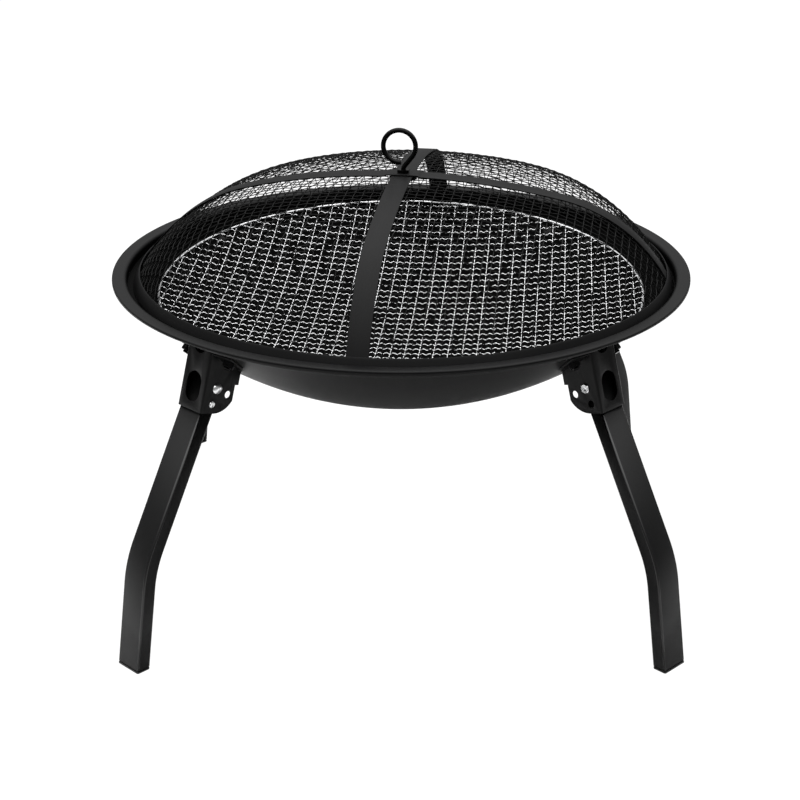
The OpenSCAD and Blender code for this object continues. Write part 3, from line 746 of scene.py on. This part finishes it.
def wirePlaces(lastAngle):
    # Distances out at which wires lie, evenly spaced along the dome's surface from half a pitch out
    crown, shoulder, pitch = screen["crownRadius"], screen["shoulder"], weave["pitch"]
    onCrown = crown * crownAngle
    count = int((onCrown + shoulder * (lastAngle - crownAngle)) / pitch - 0.5)
    places = []
    for run in [(number + 0.5) * pitch for number in range(count)]:
        if run < onCrown:
            places.append(crown * math.sin(run / crown))
        else:
            places.append(shoulderX + shoulder * math.sin(crownAngle + (run - onCrown) / shoulder))
    return [-place for place in places[::-1]] + places


def wovenWires():
    # Wires along x that go over and under the same set turned by a quarter
    lastAngle = footAngle - math.radians(weave["shortBy"])
    edge = shoulderX + screen["shoulder"] * math.sin(lastAngle)
    places = wirePlaces(lastAngle)
    paths = []
    for number, off in enumerate(places):
        end = math.sqrt(edge ** 2 - off ** 2)
        path = [domePoint(-end, off, weave["off"])]
        for crossing, along in enumerate(places):
            if abs(along) < end - weave["endFree"]:
                over = weave["wire"] * weave["over"] * (-1) ** (number + crossing)
                path.append(domePoint(along, off, weave["off"] + over))
        paths.append(path + [domePoint(end, off, weave["off"])])
    return paths


def bendByHand(mesh):
    # The photographed dome is pressed in a little at the left and stands out at the rear right
    fadeFrom, fadeTo = screen["bendsFade"]
    for v in mesh.vertices:
        spot = v.co.xy / mm
        radius = math.hypot(spot.x - screen["shift"], spot.y)
        keep = min(max((fadeTo - radius) / (fadeTo - fadeFrom), 0), 1)
        for bend in screen["bends"]:
            away = (spot - Vector(bend["at"])).length / bend["wide"]
            v.co.z += bend["lift"] * mm * keep * math.exp(-away ** 2 / 2)


def makeScreenMesh():
    for name, node, turn in (
        ("screenAcross", "screen_wires_across", 0), ("screenAlong", "screen_wires_along", pi / 2),
    ):
        mesh = wireMesh(name, wovenWires(), weave["wire"] / 2, weave["fineness"])
        mesh.transform(screenToWorld(turn))
        bendByHand(mesh)
        placePiece(name, mesh, "meshPaint", "screen", [node], weave["sharp"])


def makeBand():
    bm = bmesh.new()
    half = band["sheet"] / 2
    outer, inner = band["off"] + half, band["off"] - half
    angles = angleSteps(bandAngle, footAngle - bandAngle, band["steps"])
    outline = [shoulderPoint(a, outer) for a in angles] + [shoulderPoint(a, inner) for a in angles[::-1]]
    spinProfile(bm, outline + outline[:1], band["turns"])
    ends = [shoulderPoint(a, off) for a in (bandAngle, footAngle) for off in (outer, inner)]
    edges = [e for end in ends for e in ringEdges(bm, *end)]
    roundEdges(bm, edges, band["edge"], band["edgeSegments"])
    bmesh.ops.transform(bm, matrix=screenToWorld(), verts=bm.verts)
    mesh = meshFrom("screenBand", bm)
    placePiece("screenBand", mesh, "screenPaint", "screen", ["screen_band"])


def makeStrap(name, node, stepped):
    # An edge as wide as the strap, swept over one shoulder, the crown and the other shoulder
    bm = bmesh.new()
    endAngle = (bandAngle + footAngle) / 2
    x, z = shoulderPoint(endAngle, strap["off"])
    half = strap["width"] / 2
    verts = [bm.verts.new((-x * mm, y * mm, z * mm)) for y in (-half, half)]
    front = [bm.edges.new(verts)]

    def sweep(centre, angle, steps, lift=0.0):
        nonlocal front
        got = bmesh.ops.spin(
            bm, geom=front + [v for e in front for v in e.verts], cent=Vector(centre) * mm, axis=(0, 1, 0),
            dvec=(0, 0, lift * mm / steps), angle=angle, steps=steps,
        )["geom_last"]
        front = onlyKind(got, bmesh.types.BMEdge)

    crown, raised = (0, 0, crownCentre), (0, 0, crownCentre + strap["step"])
    reach = screen["crownRadius"] + strap["off"]
    near, far = (math.asin(at / reach) for at in strap["stepAt"])
    sweep((-shoulderX, 0, shoulderZ), endAngle - crownAngle, strap["shoulderSteps"])
    if stepped:
        sweep(crown, crownAngle - far, strap["sideSteps"])
        sweep(crown, far - near, strap["riseSteps"], strap["step"])
        sweep(raised, 2 * near, strap["topSteps"])
        sweep(raised, far - near, strap["riseSteps"], -strap["step"])
        sweep(crown, crownAngle - far, strap["sideSteps"])
    else:
        sweep(crown, 2 * crownAngle, strap["crownSteps"])
    sweep((shoulderX, 0, shoulderZ), endAngle - crownAngle, strap["shoulderSteps"])
    bmesh.ops.remove_doubles(bm, verts=bm.verts, dist=weld)
    bmesh.ops.recalc_face_normals(bm, faces=bm.faces)
    if sum(f.normal.z for f in bm.faces) < 0:
        bmesh.ops.reverse_faces(bm, faces=bm.faces)
    bmesh.ops.transform(bm, matrix=screenToWorld(0 if stepped else pi / 2), verts=bm.verts)
    mesh = bpy.data.meshes.new(name)
    bm.to_mesh(mesh)
    bm.free()
    bendByHand(mesh)
    piece = placePiece(name, mesh, "screenPaint", "screen", [node], strap["sharp"])
    thicken(piece, strap["sheet"])
    edge = piece.modifiers.new("edge", "BEVEL")
    edge.width = strap["edge"] * mm
    edge.segments = strap["edgeSegments"]
    edge.limit_method = "ANGLE"
    edge.angle_limit = math.radians(strap["edgeAngle"])


makeScreenMesh()
makeBand()
makeStrap("strapFrontRear", "strap_front_rear", False)
makeStrap("strapLeftRight", "strap_left_right", True)
print("screen made")


# Handle: an eye bent from rod, a nut above the straps, a washer and a nut below the mesh

handle = {
    "rod": 2.4, "low": 386.35, "bend": 4.8, "bendSteps": 8, "slant": 12.0, "lean": 38.0,
    "eye": 15.6, "sweep": 314.0, "eyeSteps": 72, "fineness": 7, "sharp": 50,
    "collar": 397.55, "nutHeight": 3.2, "nutFlat": 11.0, "nutGap": 0.05,
}
washer = {
    "radius": 13.0, "hole": 2.7, "top": 392.78, "sheet": 1.2, "turns": 48, "edge": 0.3, "edgeSegments": 2,
}


def makeEye():
    lean, bend, eye = math.radians(handle["lean"]), handle["bend"], handle["eye"]
    stem = handle["collar"] + handle["nutHeight"]
    path = [(0, 0, handle["low"]), (0, 0, stem)]
    path += [
        (bend * (1 - math.cos(a)), 0, stem + bend * math.sin(a))
        for a in angleSteps(0, lean, handle["bendSteps"])[1:]
    ]
    startX = path[-1][0] + handle["slant"] * math.sin(lean)
    startZ = path[-1][2] + handle["slant"] * math.cos(lean)
    eyeX = startX - eye * math.cos(lean)
    eyeZ = startZ + eye * math.sin(lean)
    path += [
        (eyeX + eye * math.cos(a), 0, eyeZ + eye * math.sin(a))
        for a in angleSteps(-lean, math.radians(handle["sweep"]), handle["eyeSteps"])
    ]
    mesh = wireMesh("handleEye", [path], handle["rod"], handle["fineness"])
    mesh.transform(screenToWorld())
    placePiece("handleEye", mesh, "handleGloss", "screen", ["handle_eye"], handle["sharp"])


def makeHandleNuts():
    underWasher = washer["top"] - washer["sheet"] - handle["nutGap"] - handle["nutHeight"]
    for name, node, height, material, slotName in (
        ("handleCollar", "handle_collar", handle["collar"], "handleGloss", "black_paint"),
        ("handleNut", "handle_nut", underWasher, "hardwareZinc", "zinc"),
    ):
        bm = bmesh.new()
        place = screenToWorld() @ Matrix.Translation((0, 0, height * mm))
        addHexNut(bm, handle["nutFlat"], handle["nutHeight"], handle["rod"], place)
        placePiece(name, meshFrom(name, bm), material, "screen", [node])


def makeWasher():
    bm = bmesh.new()
    radius, hole, top = washer["radius"], washer["hole"], washer["top"]
    low = top - washer["sheet"]
    spinProfile(bm, [(hole, low), (radius, low), (radius, top), (hole, top), (hole, low)], washer["turns"])
    edges = ringEdges(bm, radius, low) + ringEdges(bm, radius, top)
    roundEdges(bm, edges, washer["edge"], washer["edgeSegments"])
    bmesh.ops.transform(bm, matrix=screenToWorld(), verts=bm.verts)
    mesh = meshFrom("handleWasher", bm)
    placePiece("handleWasher", mesh, "screenPaint", "screen", ["handle_washer"])


makeEye()
makeHandleNuts()
makeWasher()
print("handle made")


# Pale floor, white surround and soft studio light, in metres

studio = {
    "floor": 6.0, "floorCells": 4, "floorLow": 0.05 * mm,
    "seenTone": 0.9, "litTone": 0.3, "keepShadow": 0.08, "glow": 1.1,
    "floorShine": {"from": -0.62, "to": -0.45, "low": 0.4, "high": 0.75},  # darker at the front
    "skySeen": 1.05, "skyLight": 0.12,
    "skyShine": {"from": 0.36, "to": 1.0, "low": 0.31, "high": 3.3},  # brighter overhead
    "aim": (0, 0, 0.25),
    "lamps": [
        {"name": "overhead", "place": (-0.2, 0.1, 2.3), "size": 2.0, "power": 95},
        {"name": "left", "place": (-1.5, 0.5, 0.7), "size": 0.8, "power": 13},
    ],
}


def raysOf(tree, *kinds):
    # 1 for rays of these kinds and 0 for others
    path = addNode(tree, "ShaderNodeLightPath")
    found = path.outputs[kinds[0]]
    for kind in kinds[1:]:
        either = addNode(tree, "ShaderNodeMath", operation="MAXIMUM")
        tree.links.new(found, either.inputs[0])
        tree.links.new(path.outputs[kind], either.inputs[1])
        found = either.outputs[0]
    return found


def toneByRay(tree, coordinates, axis, shine, lit, seen):
    # What the camera sees, what reflections show along an axis, and what lights the rest
    way = addNode(tree, "ShaderNodeSeparateXYZ")
    tree.links.new(addNode(tree, "ShaderNodeTexCoord").outputs[coordinates], way.inputs[0])
    mirrored = spread(tree, way.outputs[axis], shine["from"], shine["to"], shine["low"], shine["high"])
    other = spread(tree, raysOf(tree, "Is Glossy Ray"), 0, 1, lit, mirrored)
    return spread(tree, raysOf(tree, "Is Camera Ray", "Is Transmission Ray"), 0, 1, other, seen)


def setSurround():
    world = bpy.data.worlds.new("studio")
    world.use_nodes = True
    bpy.context.scene.world = world
    tree = world.node_tree
    tree.nodes.clear()
    sky = addNode(tree, "ShaderNodeBackground")
    sky.inputs["Color"].default_value = (1, 1, 1, 1)
    tone = toneByRay(tree, "Generated", "Z", studio["skyShine"], studio["skyLight"], studio["skySeen"])
    tree.links.new(tone, sky.inputs["Strength"])
    tree.links.new(sky.outputs[0], addNode(tree, "ShaderNodeOutputWorld").inputs["Surface"])


def floorMaterial():
    material = bpy.data.materials.new("paleFloor")
    material.use_nodes = True
    tree = material.node_tree
    tree.nodes.clear()
    matt = addNode(tree, "ShaderNodeBsdfDiffuse")
    tone = toneByRay(tree, "Object", "Y", studio["floorShine"], studio["litTone"], studio["seenTone"])
    tree.links.new(tone, matt.inputs["Color"])
    glow = addNode(tree, "ShaderNodeEmission")
    glow.inputs["Strength"].default_value = studio["glow"]
    seen = raysOf(tree, "Is Camera Ray", "Is Transmission Ray")
    above = addNode(tree, "ShaderNodeMixShader")
    tree.links.new(spread(tree, seen, 0, 1, 0.0, 1 - studio["keepShadow"]), above.inputs["Fac"])
    tree.links.new(matt.outputs[0], above.inputs[1])
    tree.links.new(glow.outputs[0], above.inputs[2])
    # Clear from below, so that the underside can be looked at
    either = addNode(tree, "ShaderNodeMixShader")
    tree.links.new(addNode(tree, "ShaderNodeNewGeometry").outputs["Backfacing"], either.inputs["Fac"])
    tree.links.new(above.outputs[0], either.inputs[1])
    tree.links.new(addNode(tree, "ShaderNodeBsdfTransparent").outputs[0], either.inputs[2])
    tree.links.new(either.outputs[0], addNode(tree, "ShaderNodeOutputMaterial").inputs["Surface"])
    return material


def setFloor():
    bm = bmesh.new()
    cells = studio["floorCells"]
    bmesh.ops.create_grid(bm, x_segments=cells, y_segments=cells, size=studio["floor"])
    bmesh.ops.translate(bm, vec=up * -studio["floorLow"], verts=bm.verts)
    floor = bpy.data.objects.new("floor", meshFrom("floor", bm))
    if floor.data.polygons[0].normal.z < 0:
        floor.data.flip_normals()
    floor.data.materials.append(floorMaterial())
    bpy.context.scene.collection.objects.link(floor)


def setLamps():
    for lamp in studio["lamps"]:
        light = bpy.data.lights.new(lamp["name"], "AREA")
        light.shape = "DISK"
        light.size = lamp["size"]
        light.energy = lamp["power"]
        holder = bpy.data.objects.new(lamp["name"], light)
        holder.location = lamp["place"]
        holder.visible_glossy = False  # reflections show only the floor and the surround
        holder.rotation_mode = "QUATERNION"
        holder.rotation_quaternion = (Vector(studio["aim"]) - holder.location).to_track_quat("-Z", "Y")
        bpy.context.scene.collection.objects.link(holder)


setSurround()
setFloor()
setLamps()
print("studio set")
